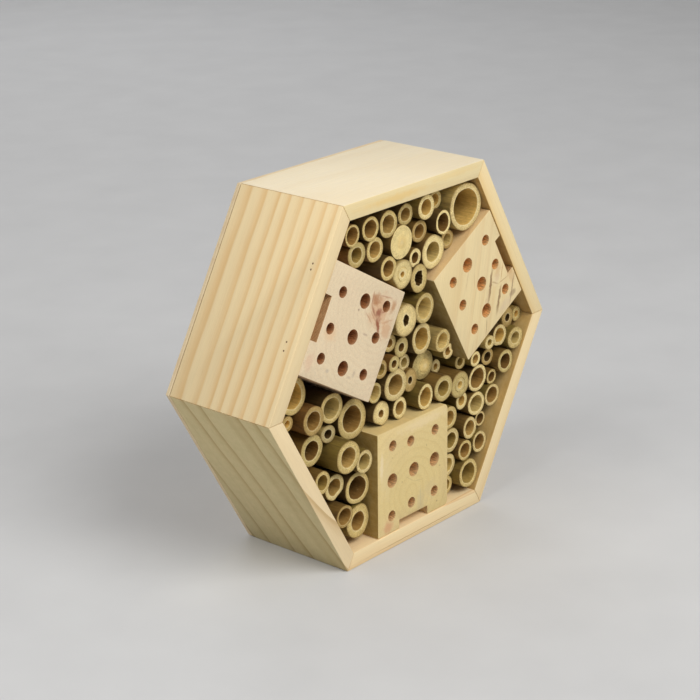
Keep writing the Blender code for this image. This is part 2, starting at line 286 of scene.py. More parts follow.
def timber(
    name, pith, ring, early, late, contrast, wander, seed,
    axes=STRAIGHT, slope=(0.0, 0.0), uneven=3.0, profile=PLAIN,
    tone=(0.86, 0.62, 0.36), tone_amount=0.18, speckle=0.08, fleck=0.16,
    stains=(), strokes=(), sides=(), rough=0.62,
):
    """Solid wood: growth rings about a pith line, with fibres along it.

    axes are the directions along and across the grain, pith is the pith line's place in the
    two across it, and ring the width of a growth ring. Stains are (centre, radii, colour,
    amount) and strokes (start, end, half width, colour, amount), with the X and Z of the face
    for their places, and sides (0 for X or 2 for Z, the way it faces, its place, colour,
    amount) tint the faces that look that way with painted light and shade.
    """
    n = Nodes(name)
    raw = n.place()
    turned = n.join(*[n.dot(raw, axis) for axis in axes])
    place = n.shifted(turned, (seed * 37.0, seed * 53.0, seed * 71.0))
    x, _, z = n.split(raw)
    along_grain, a, b = n.split(turned)
    drift = n.noise(place, DRIFT)
    other = n.noise(n.shifted(place, (19, 7, 31)), DRIFT)
    a = n.plus(a, n.times(n.minus(drift, 0.5), wander * 4))
    b = n.plus(b, n.times(n.minus(other, 0.5), wander * 4))
    a = n.minus(n.line(along_grain, slope[0], a), pith[0])
    b = n.minus(n.line(along_grain, slope[1], b), pith[1])
    radius = n.math("SQRT", n.plus(n.times(a, a), n.times(b, b)))
    spread = n.noise(n.join(radius, seed, 0.0), (0.06, 1, 1), 1.0)
    turns = n.plus(n.math("DIVIDE", radius, ring), n.times(spread, uneven))
    band = n.ramp(n.math("FRACT", turns), profile)
    patch = n.noise(place, tuple(2.2 * s for s in DRIFT))
    amount = n.times(band, n.line(patch, 0.9 * contrast, 0.55 * contrast), clamp=True)
    color = n.mix(amount, early, late)

    broad = n.step(n.noise(place, (0.022, 0.022, 0.022), 3.0), 0.35, 0.75)
    color = n.mix(n.times(broad, tone_amount), color, tone)

    fibres = n.noise(place, (0.05, 1.5, 1.5), 4.0, 0.6)
    flecks = n.step(n.noise(place, (0.16, 3.2, 3.2), 2.0, 0.55), 0.6, 0.74)
    color = n.shaded(color, n.line(fibres, 2 * speckle, 1.0 - speckle))
    color = n.mix(n.times(flecks, fleck), color, tuple(0.72 * c for c in late))

    ragged = n.minus(n.noise(place, (0.3, 0.3, 0.3), 4.0, 0.65), 0.5)
    for centre, radii, tint, strength in stains:
        offset = n.shifted(raw, (-centre[0], -FRONT, -centre[1]))
        reach = n.length(n.scaled(offset, tuple(1.0 / r for r in radii)))
        mask = n.below(n.line(ragged, 1.3, reach), 0.25, 1.05)
        color = n.mix(n.times(mask, strength), color, tint)
    for first, last, half, tint, strength in strokes:
        run = Vector(last) - Vector(first)
        long = run.length
        run /= long
        dx = n.minus(x, first[0])
        dz = n.minus(z, first[1])
        along = n.plus(n.times(dx, run.x), n.times(dz, run.y))
        across = n.minus(n.times(dx, run.y), n.times(dz, run.x))
        across = n.math("ABSOLUTE", n.line(ragged, half * 2.6, across))
        taper = n.times(n.step(along, -1.0, long * 0.3), n.below(along, long * 0.6, long + 1.0))
        mask = n.times(n.below(across, half * 0.25, half * 1.15), taper)
        color = n.mix(n.times(mask, strength), color, tint)
    # Painted light and shade: a tint multiplied onto the faces past that place, with a ragged edge.
    for axis, toward, limit, tint, strength in sides:
        past = n.line(x if axis == 0 else z, toward, -toward * limit)
        painted_shading = n.line(ragged, 0.5, strength)
        tinted = n.mix(1.0, color, tint, "MULTIPLY")
        color = n.mix(n.times(n.step(past, -0.25, -0.05), painted_shading, clamp=True), color, tinted)

    height = n.plus(n.times(fibres, 0.8), n.times(band, -0.25))
    return n.finish(color, n.line(fibres, 0.22, rough - 0.1), height, 0.3, gloss=0.3)


# ---- Mesh helpers ----
def shade_smooth(mesh, sharp):
    """Smooth shading, except at edges sharper than that many degrees."""
    for face in mesh.polygons:
        face.use_smooth = True
    mesh.set_sharp_from_angle(angle=math.radians(sharp))


def link(name, data):
    obj = bpy.data.objects.new(name, data)
    bpy.context.scene.collection.objects.link(obj)
    return obj


def add(name, bm, materials, matrix=None, sharp=None):
    """An object from a bmesh in millimetres."""
    bmesh.ops.scale(bm, vec=(MM, MM, MM), verts=bm.verts)
    mesh = bpy.data.meshes.new(name)
    bm.to_mesh(mesh)
    bm.free()
    for material in materials:
        mesh.materials.append(material)
    obj = link(name, mesh)
    if matrix is not None:
        obj.matrix_world = matrix
    if sharp is not None:
        shade_smooth(mesh, sharp)
    return obj


def circle(count):
    """(cosine, sine) of that many even turns."""
    turns = [2 * math.pi * k / count for k in range(count)]
    return [(math.cos(turn), math.sin(turn)) for turn in turns]


def bridge(bm, near, far, material=0, smooth=False):
    """Quads between two loops of vertices."""
    faces = []
    for k in range(len(near)):
        m = (k + 1) % len(near)
        face = bm.faces.new([near[k], far[k], far[m], near[m]])
        face.material_index = material
        face.smooth = smooth
        faces.append(face)
    return faces


def enclose(bm, loops):
    """A closed solid from a row of loops: quads between them and a lid on each end."""
    bm.faces.new(loops[0])
    bm.faces.new(list(reversed(loops[-1])))
    sides = [face for near, far in zip(loops, loops[1:]) for face in bridge(bm, near, far)]
    bmesh.ops.recalc_face_normals(bm, faces=bm.faces)
    return sides


def carve(obj, cutters, sharp):
    """Cuts the cutters out of obj and removes them. Cut faces keep the cutters' materials."""
    for cutter in cutters:
        modifier = obj.modifiers.new("cut", "BOOLEAN")
        modifier.operation = "DIFFERENCE"
        modifier.solver = "EXACT"
        modifier.material_mode = "TRANSFER"
        modifier.object = cutter
    bpy.context.view_layer.update()
    graph = bpy.context.evaluated_depsgraph_get()
    mesh = bpy.data.meshes.new_from_object(obj.evaluated_get(graph))
    obj.modifiers.clear()
    old = obj.data
    obj.data = mesh
    mesh.name = obj.name
    bpy.data.meshes.remove(old)
    for cutter in cutters:
        bpy.data.objects.remove(cutter, do_unlink=True)
    shade_smooth(mesh, sharp)


def drill(matrix, start, direction, rings, material, sides=40):
    """A round cutter: rings are (distance along, radius) from start, in the axes of matrix."""
    bm = bmesh.new()
    axis = Vector(direction)
    side = axis.orthogonal().normalized()
    other = axis.cross(side)
    loops = []
    for along, radius in rings:
        middle = Vector(start) + axis * along
        loops.append([
            bm.verts.new(middle + (side * cos + other * sin) * radius) for cos, sin in circle(sides)
        ])
    enclose(bm, loops)
    return add("drill", bm, [material], matrix)


def settle(obj, slot, *nodes):
    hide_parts(*nodes)
    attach(obj, "root")
    return obj


# ---- Frame boards ----
BOARD_WOOD = {
    "frame_upper_left": dict(
        pith=(45, -30), ring=6.5, early=(0.86, 0.69, 0.41), late=(0.76, 0.51, 0.24),
        contrast=0.95, wander=1, uneven=0.6, seed=1, profile=SOFT,
        tone=(0.88, 0.72, 0.42), tone_amount=0.12,
    ),
    "frame_lower_left": dict(
        pith=(-70, -35), ring=14, early=(0.85, 0.68, 0.42), late=(0.62, 0.44, 0.22),
        contrast=1, slope=(-0.2, 0), wander=1.8, uneven=3.5, seed=2, profile=LINE,
        # Painted shade with green bounce light: the outside face darker and greener.
        sides=[(2, 1, 0, (0.66, 0.7, 0.58), 0.8)],
    ),
    "frame_top": dict(
        pith=(-20, -70), ring=9, early=(0.88, 0.73, 0.42), late=(0.82, 0.64, 0.33),
        contrast=0.32, slope=(0.02, 0.05), wander=2.2, seed=3, profile=BROAD,
        tone=(0.84, 0.67, 0.36), tone_amount=0.3,
        stains=[
            ((-16, -4.5), (34, 2, 2.6), (0.86, 0.6, 0.22), 0.6),
            ((30, -2.5), (26, 2, 2), (0.86, 0.64, 0.28), 0.45),
        ],
        # Painted light: the outside face paler and bluer.
        sides=[(2, 1, 0, (0.98, 1.04, 1.36), 0.9)],
    ),
    "frame_upper_right": dict(
        pith=(20, 70), ring=7.5, early=(0.87, 0.71, 0.41), late=(0.86, 0.6, 0.24),
        contrast=0.75, slope=(0.03, -0.03), wander=2, seed=4,
        # Painted shade: the inner face darker and browner.
        sides=[(2, -1, -WALL, (0.5, 0.38, 0.19), 0.85)],
    ),
    "frame_bottom": dict(
        pith=(8, 58), ring=6.2, early=(0.86, 0.7, 0.42), late=(0.73, 0.49, 0.24),
        contrast=0.7, slope=(0.01, 0.01), wander=1.2, seed=5, profile=LINE,
        # Painted shade of a groove: dark lines along the front edge.
        strokes=[
            ((-52, -2.5), (52, -2.2), 0.4, (0.52, 0.35, 0.16), 0.75),
            ((-50, -1.2), (30, -1.5), 0.25, (0.6, 0.44, 0.22), 0.5),
        ],
        # Painted light: the inner face a little lighter.
        sides=[(2, -1, -WALL, (1.12, 1.06, 1.04), 0.8)],
    ),
    "frame_lower_right": dict(
        pith=(60, -60), ring=7.2, early=(0.86, 0.7, 0.42), late=(0.78, 0.56, 0.28),
        contrast=0.6, slope=(-0.02, 0.02), wander=1.8, seed=6,
        # Painted shade: the inner face darker.
        sides=[(2, -1, -WALL, (0.6, 0.48, 0.24), 0.85)],
    ),
}


LONG_EASE = 0.55
MITRE_EASE = 0.12
PIN_HOLE = ((0.0, 0.56), (1.0, 0.52), (3.0, 0.515))  # (distance in, radius)
ABOVE_BOARD = 1.0  # how far outside the board a pin's hole starts


def make_board(name, angle):
    """A mitred board with eased long edges and barely broken mitre edges."""
    bm = bmesh.new()
    trim = GAP / 2 / math.cos(math.radians(30))
    half_out = SIDE / 2 - trim
    half_in = INNER * math.tan(math.radians(30)) - trim
    corners = [(-half_out, 0.0), (half_out, 0.0), (half_in, -WALL), (-half_in, -WALL)]
    enclose(bm, [
        [bm.verts.new((x, y, z)) for x, z in corners] for y in (FRONT, box_mm(name)[1].y)
    ])
    along = [e for e in bm.edges if abs((e.verts[1].co - e.verts[0].co).normalized().x) > 0.99]
    bmesh.ops.bevel(bm, geom=along, offset=LONG_EASE, segments=3, affect="EDGES", profile=0.5)
    ends = [
        e for e in bm.edges if len(e.link_faces) == 2 and e.calc_face_angle(0) > math.radians(40)
    ]
    bmesh.ops.bevel(bm, geom=ends, offset=MITRE_EASE, segments=2, affect="EDGES", profile=0.5)
    material = timber(f"{name}_pine", **BOARD_WOOD[name])
    board = add(name + "_board", bm, [material], local_frame(angle), sharp=25)
    if name == "frame_upper_left":
        cutters = []
        for pin in sorted(node for node in frame["nodes"] if node.startswith("pin_")):
            low, high = box_mm(pin)
            at = to_local(angle, (low + high) / 2)
            start = (at.x, at.y, ABOVE_BOARD)
            cutters.append(drill(board.matrix_world, start, (0, 0, -1), PIN_HOLE, material, 14))
        carve(board, cutters, 25)
    return settle(board, "pine_board", name)


for name, angle in BOARDS.items():
    make_board(name, angle)


# ---- Back panel ----
BACK_PLY = 1.25  # depth of the darker middle ply below the rear face


def sheet_wood():
    """Rotary-cut veneer: broad lazy figure across the sheet, grain along X."""
    n = Nodes("back_veneer")
    place = n.place()
    warp = n.noise(place, (0.006, 0.01, 0.02), 3.0)
    _, y, z = n.split(place)
    phase = n.math("FRACT", n.plus(n.times(z, 0.045), n.times(warp, 9.0)))
    band = n.ramp(phase, [(0.0, 0.3), (0.15, 0.0), (0.6, 0.35), (0.92, 0.9), (1.0, 0.3)])
    color = n.mix(n.times(band, 0.45), (0.8, 0.65, 0.42), (0.66, 0.46, 0.25))
    fibres = n.noise(place, (0.05, 1.2, 1.6), 4.0, 0.6)
    pores = n.step(n.noise(place, (0.12, 2.5, 3.0)), 0.6, 0.72)
    color = n.shaded(color, n.line(fibres, 0.3, 0.85))
    color = n.mix(n.times(pores, 0.35), color, (0.36, 0.23, 0.12))
    ply = n.below(n.math("ABSOLUTE", n.minus(y, REAR - BACK_PLY)), 0.35, 0.5)
    color = n.mix(n.times(ply, 0.25), color, (0.55, 0.4, 0.24))
    return n.finish(color, n.line(fibres, 0.2, 0.58), fibres, 0.4)


def make_back():
    low, high = box_mm("back_panel")
    reach = (high.x - low.x) / 2
    bm = bmesh.new()
    loops = []
    for y, inset in ((low.y, 0.0), (high.y - 0.4, 0.0), (high.y - 0.1, 0.12), (high.y, 0.4)):
        size = reach - inset
        loops.append([
            bm.verts.new((size * cos, y, CENTRE.z + size * sin)) for cos, sin in circle(6)
        ])
    enclose(bm, loops)
    back = add("back_sheet", bm, [sheet_wood()], sharp=20)
    return settle(back, "back_sheet", "back_panel")


make_back()


# ---- Nesting blocks ----
def drilled_wood(name, pale, dark):
    """The torn fibre on the walls of the drilled holes, with painted shade darker further in."""
    n = Nodes(name + "_drilled")
    place = n.place()
    _, y, _ = n.split(place)
    torn = n.noise(place, (1.8, 0.3, 1.8), 4.0, 0.65)
    spiral = n.noise(place, (0.3, 2.2, 0.3))
    uneven = n.line(n.minus(torn, 0.5), 6.0, y)
    # Painted shade: pale at the mouth, dark from a few millimetres in.
    color = n.mix(n.step(uneven, FRONT - 0.6, FRONT + 3.0), pale, dark)
    color = n.shaded(color, n.line(n.step(torn, 0.3, 0.7), 0.75, 0.5))
    height = n.plus(torn, n.times(spiral, 0.5))
    return n.finish(color, 0.9, height, 0.9, gloss=0.05)


def sawn_wood(name, pale, dark):
    """The rough sides of the milled slot, with slanting saw marks."""
    n = Nodes(name + "_slot")
    place = n.place()
    marks = n.noise(place, (0.7, 1.6, 0.7), 3.0, 0.6, 0.8)
    slant = n.dot(place, (0.5, 0.75, 0.3))
    saw = n.math("FRACT", n.line(marks, 0.9, n.times(slant, 0.9)))
    mask = n.line(saw, 0.22, n.times(marks, 0.9))
    color = n.mix(n.step(mask, 0.25, 0.85), dark, pale)
    return n.finish(color, 0.8, n.plus(marks, n.times(saw, 0.3)), 0.7)


# Colours at the mouth and, as painted shade, deep inside the holes, then of the pale and dark
# saw marks in the slot.
HOLE_MOUTH_AND_SHADE = {
    "block_bottom": ((0.84, 0.6, 0.32), (0.74, 0.44, 0.2)),
    "block_left": ((0.66, 0.38, 0.2), (0.44, 0.18, 0.07)),
    "block_right": ((0.84, 0.58, 0.28), (0.82, 0.42, 0.15)),
}
# The left and right blocks' slot colours hold painted shade, darker and browner.
SLOT_WOOD_AND_SHADE = {
    "block_bottom": ((0.8, 0.6, 0.34), (0.56, 0.37, 0.18)),
    "block_left": ((0.62, 0.38, 0.18), (0.42, 0.21, 0.08)),
    "block_right": ((0.6, 0.38, 0.17), (0.4, 0.21, 0.08)),
}

SPECK = (0.36, 0.24, 0.13)
BLOCK_WOOD = {
    "block_bottom": dict(
        axes=TO_REAR,
        pith=(3, -25), ring=4.6, early=(0.76, 0.6, 0.28), late=(0.66, 0.48, 0.2),
        contrast=0.3, wander=2.4, uneven=1.5, seed=11, speckle=0.16, fleck=0.25,
        tone=(0.82, 0.63, 0.36), tone_amount=0.5,
        stains=[
            ((22.4, -12.5), (5, 4, 5), (0.68, 0.36, 0.19), 0.75),
            ((-6, -62), (26, 3, 4), (0.84, 0.68, 0.42), 0.5),
            ((24, -40), (6, 3, 16), (0.76, 0.62, 0.36), 0.4),
            ((-4, -17), (5, 3, 11), (0.55, 0.47, 0.3), 0.35),
            ((-12, -22), (7, 3, 8), (0.62, 0.5, 0.3), 0.3),
            ((-17.7, -13.5), (0.7, 3, 0.7), (0.34, 0.22, 0.12), 0.7),
            ((-9, -48), (0.6, 3, 0.8), SPECK, 0.6),
            ((4, -57), (0.5, 3, 0.6), SPECK, 0.6),
            ((11, -34), (0.6, 3, 0.5), SPECK, 0.6),
            ((19, -50), (0.5, 3, 0.5), SPECK, 0.6),
            ((-20, -33), (0.6, 3, 0.6), SPECK, 0.5),
        ],
        strokes=[
            ((27, -56), (27.7, -38), 1.3, (0.84, 0.7, 0.45), 0.7),
            ((-4.4, -13), (-4, -27), 0.35, (0.42, 0.38, 0.28), 0.35),
            ((8, -36), (2, -31.5), 0.3, (0.46, 0.36, 0.2), 0.35),
            ((2, -31.5), (-6, -30), 0.3, (0.46, 0.36, 0.2), 0.3),
        ],
    ),
    "block_left": dict(
        axes=TO_REAR,
        pith=(15.5, -53.5), ring=3.2, early=(0.8, 0.66, 0.45), late=(0.68, 0.49, 0.29),
        contrast=0.2, wander=2.6, seed=12, speckle=0.2, tone=(0.8, 0.6, 0.42), tone_amount=0.3,
        stains=[
            ((17, -53), (11, 8, 11.5), (0.66, 0.39, 0.22), 0.75),
            ((9.3, -62.7), (7, 5, 5.5), (0.62, 0.32, 0.16), 0.55),
            ((21.8, -62.2), (4.6, 4, 2.6), (0.52, 0.26, 0.12), 0.75),
            ((21.4, -47.7), (4.6, 4, 4.6), (0.44, 0.19, 0.08), 0.8),
            ((16, -52.7), (3.2, 4, 3.2), (0.36, 0.14, 0.08), 0.95),
            ((12, -54.5), (3.4, 4, 2.8), (0.42, 0.18, 0.1), 0.7),
            ((-19.8, -28.5), (1.5, 3, 1.7), (0.45, 0.38, 0.32), 0.45),
            ((-16.5, -48.9), (2.4, 3, 1.4), (0.46, 0.36, 0.27), 0.5),
            ((-19, -46), (1.2, 3, 2), (0.46, 0.36, 0.27), 0.4),
            ((3.5, -47.7), (0.8, 3, 2.8), (0.45, 0.32, 0.24), 0.55),
            ((13.3, -36.8), (0.9, 2, 0.9), (0.3, 0.2, 0.14), 0.8),
            ((-2.3, -21.8), (6, 3, 6.5), (0.82, 0.52, 0.28), 0.45),
            ((-19, -13.5), (6.5, 3, 4.5), (0.7, 0.42, 0.28), 0.4),
        ],
        strokes=[
            ((5.8, -58), (14.5, -51.9), 1.4, (0.32, 0.11, 0.055), 0.95),
            ((4, -61), (9, -55.5), 0.5, (0.45, 0.22, 0.12), 0.7),
            ((13.5, -51), (18, -45.5), 0.8, (0.38, 0.16, 0.09), 0.8),
            ((18, -45.5), (25, -44), 0.6, (0.44, 0.21, 0.12), 0.75),
            ((16.5, -54.5), (20, -60.5), 0.7, (0.4, 0.17, 0.1), 0.8),
            ((9.5, -50.5), (14, -42), 0.5, (0.52, 0.28, 0.17), 0.6),
            ((14, -42), (24, -39.5), 0.5, (0.56, 0.32, 0.2), 0.5),
            ((11.5, -52), (15.5, -46), 0.4, (0.5, 0.25, 0.15), 0.6),
            ((24, -49), (25.5, -60), 0.5, (0.5, 0.25, 0.15), 0.6),
            ((12, -58), (16, -65.5), 0.5, (0.6, 0.34, 0.2), 0.6),
            ((1.5, -33.5), (3.5, -40.5), 0.3, (0.66, 0.46, 0.34), 0.4),
        ],
    ),
    "block_right": dict(
        axes=((0.75, 0.08, -0.65), (0.65, 0, 0.75), (0, 1, 0)),
        pith=(-70, 30), ring=6, early=(0.84, 0.68, 0.38), late=(0.72, 0.52, 0.26),
        contrast=0.45, wander=1.2, seed=13, speckle=0.12, fleck=0.25, tone=(0.82, 0.68, 0.46),
        stains=[
            # Painted shadow: a dark grey patch near the high side.
            ((26.5, -15.5), (2.4, 4, 3.6), (0.34, 0.23, 0.14), 0.65),
            ((27.5, -24), (3.5, 4, 9), (0.68, 0.53, 0.38), 0.45),
            ((17, -12), (5.5, 3, 3.6), (0.66, 0.43, 0.22), 0.55),
            ((9.5, -22.5), (3.6, 3, 4.8), (0.86, 0.74, 0.5), 0.6),
            ((12.5, -11), (4.2, 3, 3), (0.66, 0.42, 0.2), 0.75),
        ],
        strokes=[
            ((0.5, -21.5), (19, -36.5), 1.2, (0.24, 0.125, 0.055), 0.85),
            ((14.5, -20.5), (28, -33), 1.2, (0.25, 0.135, 0.06), 0.8),
            ((3, -16), (12, -24.5), 2.6, (0.66, 0.42, 0.22), 0.45),
            ((9, -30), (20, -39), 1.6, (0.62, 0.44, 0.26), 0.4),
            ((5.2, -13.9), (14, -21), 0.35, (0.55, 0.28, 0.1), 0.7),
            ((17.3, -8.9), (30.6, -21), 0.7, (0.34, 0.22, 0.14), 0.7),
            ((22.7, -39.3), (30.6, -44.8), 0.45, (0.38, 0.25, 0.14), 0.6),
            ((-7, -35), (1, -40), 0.5, (0.55, 0.38, 0.2), 0.45),
            ((-12, -38), (-3, -46), 0.5, (0.55, 0.38, 0.2), 0.35),
            ((7.7, -26.8), (13, -22.5), 0.5, (0.5, 0.32, 0.16), 0.55),
            ((13, -22.5), (15.2, -13.5), 0.5, (0.5, 0.32, 0.16), 0.55),
        ],
    ),
}

# Painted shade: tints that darken a block's side faces.
BLOCK_SIDE_SHADE = {
    "block_bottom": {"high": (0.38, 0.3, 0.14), "top": (0.88, 0.84, 0.74)},
    "block_left": {
        "low": (0.5, 0.4, 0.34), "top": (0.7, 0.6, 0.52), "high": (0.8, 0.72, 0.66),
    },
    "block_right": {"low": (0.84, 0.7, 0.58), "top": (0.36, 0.29, 0.13)},
}
FACING = {"low": (0, -1), "high": (0, 1), "top": (2, -1)}

# Corner radii of a block's outline: low foot, high foot, high top, low top.
CORNER = {
    "block_bottom": (2.4, 0.9, 1.0, 3.6),
    "block_left": (0.7, 0.6, 0.7, 0.9),
    "block_right": (0.8, 0.7, 0.7, 0.8),
}
SLOT_CORNERS = (0.25, 0.3, 0.3, 0.25)
SLOT_DEPTHS = (3, 7)  # a slot's floor lies this deep below the foot
SLOT_MARGIN = 8  # and this far or more from the block's low and high sides
SMALL_HOLE = 2.88
LARGE_HOLE = 3.82
SMALL_BOX = 5  # a narrower opening than this, across the hotel, is a small hole's


def fillet(points, radii, steps=5):
    """Rounds the corners of a closed outline."""
    out = []
    count = len(points)
    for k, (corner, radius) in enumerate(zip(points, radii)):
        here = Vector(corner)
        before = (Vector(points[k - 1]) - here).normalized()
        after = (Vector(points[(k + 1) % count]) - here).normalized()
        first = here + before * radius
        last = here + after * radius
        for s in range(steps + 1):
            t = s / steps
            out.append(first * (1 - t) ** 2 + here * 2 * t * (1 - t) + last * t * t)
    return out


def block_plan(name, angle):
    """A block's limits and its slot's in its board's axes, from its CAD mesh."""
    inverse = local_frame(angle).inverted()
    points = [inverse @ v.co / MM for v in frame["nodes"][name].data.vertices]
    front = min(p.y for p in points)
    face = [p for p in points if p.y < front + 0.05]
    low = min(p.x for p in face)
    high = max(p.x for p in face)
    foot = max(p.z for p in face)
    near, far = SLOT_DEPTHS
    slot = [
        p for p in face
        if foot - far < p.z < foot - near and low + SLOT_MARGIN < p.x < high - SLOT_MARGIN
    ]
    rim = [p for p in slot if abs(p.z - max(q.z for q in slot)) < 0.05]
    return (
        front, max(p.y for p in points), low, high, foot, min(p.z for p in face),
        min(p.x for p in rim), max(p.x for p in rim), rim[0].z,
    )


def make_block(name, board):
    """A nesting block with broken edges, a milled slot and nine drilled holes."""
    angle = BOARDS[board]
    matrix = local_frame(angle)
    front, rear, low, high, foot, top, slot_low, slot_high, slot_floor = block_plan(name, angle)
    outline = fillet(
        [
            (low, foot), (slot_low, foot), (slot_low, slot_floor), (slot_high, slot_floor),
            (slot_high, foot), (high, foot), (high, top), (low, top),
        ],
        [CORNER[name][0], *SLOT_CORNERS, *CORNER[name][1:]],
    )
    middle = Vector(((low + high) / 2, (foot + top) / 2))
    rng = random.Random(name)
    bm = bmesh.new()
    loops = []
    for y, inset in (
        (front, 0.22), (front + 0.08, 0.07), (front + 0.25, 0.0), (rear - 0.3, 0.0), (rear, 0.3),
    ):
        loop = []
        for p in outline:
            inward = middle - p
            step = Vector(math.copysign(min(abs(c), inset), c) for c in inward)
            wobble = 0.1 * rng.random() if inset else 0.0
            q = p + step * (1 + wobble)
            loop.append(bm.verts.new((q.x, y, q.y)))
        loops.append(loop)
    for face in enclose(bm, loops):
        centre = face.calc_center_median()
        if slot_low - 0.2 < centre.x < slot_high + 0.2 and centre.z > slot_floor - 0.2:
            face.material_index = 2
    # The side faces get their painted shade tints.
    limits = {"low": low, "high": high, "top": top}
    sides = [(*FACING[key], limits[key], tint, 0.9) for key, tint in BLOCK_SIDE_SHADE[name].items()]
    wood = timber(f"{name}_wood", rough=0.72, sides=sides, **BLOCK_WOOD[name])
    bored = drilled_wood(name, *HOLE_MOUTH_AND_SHADE[name])
    block = add(name + "_drilled", bm, [wood, bored, sawn_wood(name, *SLOT_WOOD_AND_SHADE[name])], matrix)
    cutters = []
    for hole in frame["record"]["physics"]["openings"]:
        if not hole["name"].startswith(name + "_hole"):
            continue
        start, end = (Vector(p) / MM for p in hole["box_m"])
        at = to_local(angle, (start + end) / 2)
        radius = SMALL_HOLE if end.x - start.x < SMALL_BOX else LARGE_HOLE
        rings = [
            (-1.0, radius + 0.06), (0.06, radius + 0.05), (0.3, radius),
            (20.0, radius), (rear - front + 1.0, radius),
        ]
        cutters.append(drill(matrix, (at.x, front, at.z), (0, 1, 0), rings, bored))
    carve(block, cutters, 32)
    return settle(block, "block_wood", name)


for name, board in BLOCKS.items():
    make_block(name, board)


# ---- Bamboo ----
def bamboo_cut():
    """The sawn end: pale straw, with dark fibre ends crowding to the outside."""
    n = Nodes("bamboo_cut")
    place = n.place()
    inward = n.painted("wall")
    spots = n.noise(place, (2.9, 0.5, 2.9), 2.0, 0.6)
    spots = n.minus(spots, n.times(inward, 0.13))
    dots = n.step(spots, 0.42, 0.56)
    rough = n.noise(place, (1.5, 0.5, 1.5), 4.0, 0.7)
    smear = n.noise(place, (0.35, 0.2, 0.35))
    shade = n.times(n.line(rough, 0.55, 0.7), n.line(smear, 0.5, 0.76))
    color = n.shaded(n.painted("tone", "Color"), shade)
    color = n.mix(n.times(dots, 0.5), color, (0.3, 0.18, 0.055))
    color = n.mix(n.times(n.below(inward, 0.0, 0.25), 0.6), color, (0.24, 0.145, 0.045))
    color = n.mix(n.times(n.step(inward, 0.72, 1.0), 0.35), color, (0.86, 0.76, 0.5))
    height = n.minus(rough, n.times(dots, 0.5))
    return n.finish(color, 0.85, height, 0.7, gloss=0.15)


def bamboo_skin():
    """The outside of the cane: fine streaks, darker weathered patches, a slight gloss."""
    n = Nodes("bamboo_skin")
    place = n.place()
    streaks = n.noise(place, (1.6, 0.035, 1.6), 5.0, 0.65)
    patches = n.noise(place, (0.2, 0.05, 0.2), 3.0, 0.6)
    color = n.shaded(n.painted("tone", "Color"), n.line(streaks, 1.3, 0.3))
    color = n.mix(n.times(n.step(patches, 0.46, 0.66), 0.5), color, (0.07, 0.035, 0.012))
    scuffs = n.step(n.noise(place, (1.0, 0.12, 1.0), 3.0, 0.7), 0.62, 0.74)
    color = n.mix(n.times(scuffs, 0.35), color, (0.46, 0.31, 0.11))
    return n.finish(color, n.line(streaks, 0.3, 0.38), streaks, 0.35)


def bamboo_bore():
    """The inside of the cane: papery, with streaks along it."""
    n = Nodes("bamboo_bore")
    place = n.place()
    streaks = n.noise(place, (1.2, 0.07, 1.2), 3.0, 0.6)
    flakes = n.noise(place, (0.6, 0.35, 0.6), 4.0, 0.7)
    shade = n.times(n.line(streaks, 0.6, 0.65), n.line(flakes, 0.7, 0.65))
    color = n.shaded(n.painted("tone", "Color"), shade)
    color = n.mix(n.times(n.step(flakes, 0.58, 0.72), 0.3), color, (0.55, 0.4, 0.19))
    return n.finish(color, 0.85, n.plus(streaks, flakes), 0.5, gloss=0.08)


CUT = bamboo_cut()
SKIN = bamboo_skin()
BORE = bamboo_bore()

CUTS = {
    "straw": (0.75, 0.575, 0.235),
    "cream": (0.85, 0.67, 0.31),
    "pale": (0.98, 0.79, 0.37),
    "tan": (0.56, 0.39, 0.145),
    "green": (0.66, 0.52, 0.215),
    "grey": (0.6, 0.48, 0.23),
}
SKINS = {
    "olive": (0.21, 0.145, 0.03),
    "brown": (0.2, 0.115, 0.027),
    "dark": (0.095, 0.058, 0.016),
    "red": (0.19, 0.092, 0.02),
    "straw": (0.46, 0.33, 0.11),
}
BORES = {
    "brown": (0.48, 0.28, 0.08),
    "tawny": (0.63, 0.41, 0.13),
    "olive": (0.5, 0.34, 0.095),
    "ash": (0.72, 0.54, 0.2),
    "gold": (0.8, 0.53, 0.155),
    "pith": (0.95, 0.72, 0.28),
    "umber": (0.27, 0.145, 0.04),
    "dark": (0.11, 0.06, 0.018),
}


def cane(skin, bore, cut="straw", **more):
    """How one tube looks: its colours, then what sets its shape apart.

    oval is tall over wide, lean turns that oval, inner is the oval of the bore alone, flat is
    (direction, amount) of a flattened side, poly makes the outline six-sided, ring is a groove
    round the bore, rag and fray roughen the bore and the rim, bite is (direction, width,
    depth) broken out of the wall, plug closes the end with a dish of that depth, dome closes
    it with a bulge, and knot puts a ridge that far behind the end.
    """
    return {"skin": skin, "bore": bore, "cut": cut, **more}


